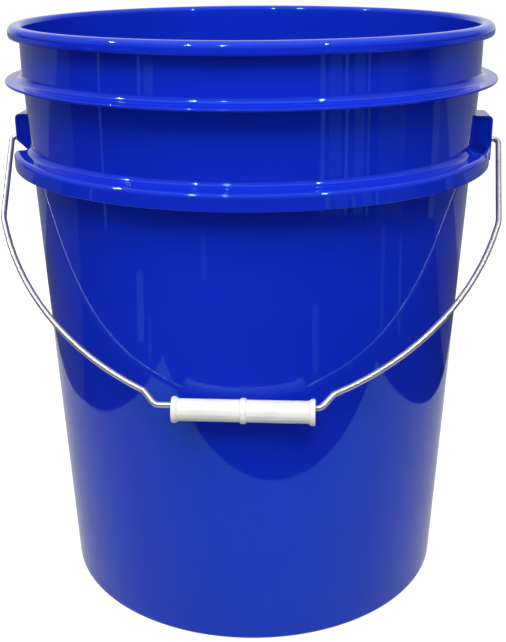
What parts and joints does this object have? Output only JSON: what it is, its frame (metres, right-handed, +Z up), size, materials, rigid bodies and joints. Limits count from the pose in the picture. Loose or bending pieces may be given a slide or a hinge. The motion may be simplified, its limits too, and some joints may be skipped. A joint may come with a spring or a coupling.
{
  "type": "fermenting bucket",
  "caption": "Open tapered plastic pail with a rolled rim, two stiffening rings, and a hooked wire bail carrying a loose roller grip.",
  "frame": {"origin": "centre of the pail's base, on the plane it stands on", "axes": "+Z up along the pail's axis; +X through one bail ear, so X is the line the bail swings about; the bail rests towards -Y"},
  "size_m": [0.3232, 0.3096, 0.3731],
  "materials": {
    "bucket_plastic": "glossy injection-moulded polyethylene, royal blue",
    "bail_wire": "bright zinc-plated drawn wire",
    "grip_plastic": "semi-gloss moulded white plastic"
  },
  "bodies": {
    "bucket": {"bucket": "bucket_plastic"},
    "bail": {"bail": "bail_wire"},
    "grip": {"grip": "grip_plastic"}
  },
  "joints": [
    {"name": "bail_swing", "type": "hinge", "parent": "bucket", "child": "bail", "pos_m": [0, 0, 0.2982], "axis": [-1, 0, 0], "range_deg": [0, 263.6]},
    {"name": "grip_spin", "type": "hinge", "parent": "bail", "child": "grip", "pos_m": [0.0034, -0.14462, 0.16889], "axis": [1, 0, 0], "continuous": true}
  ]
}
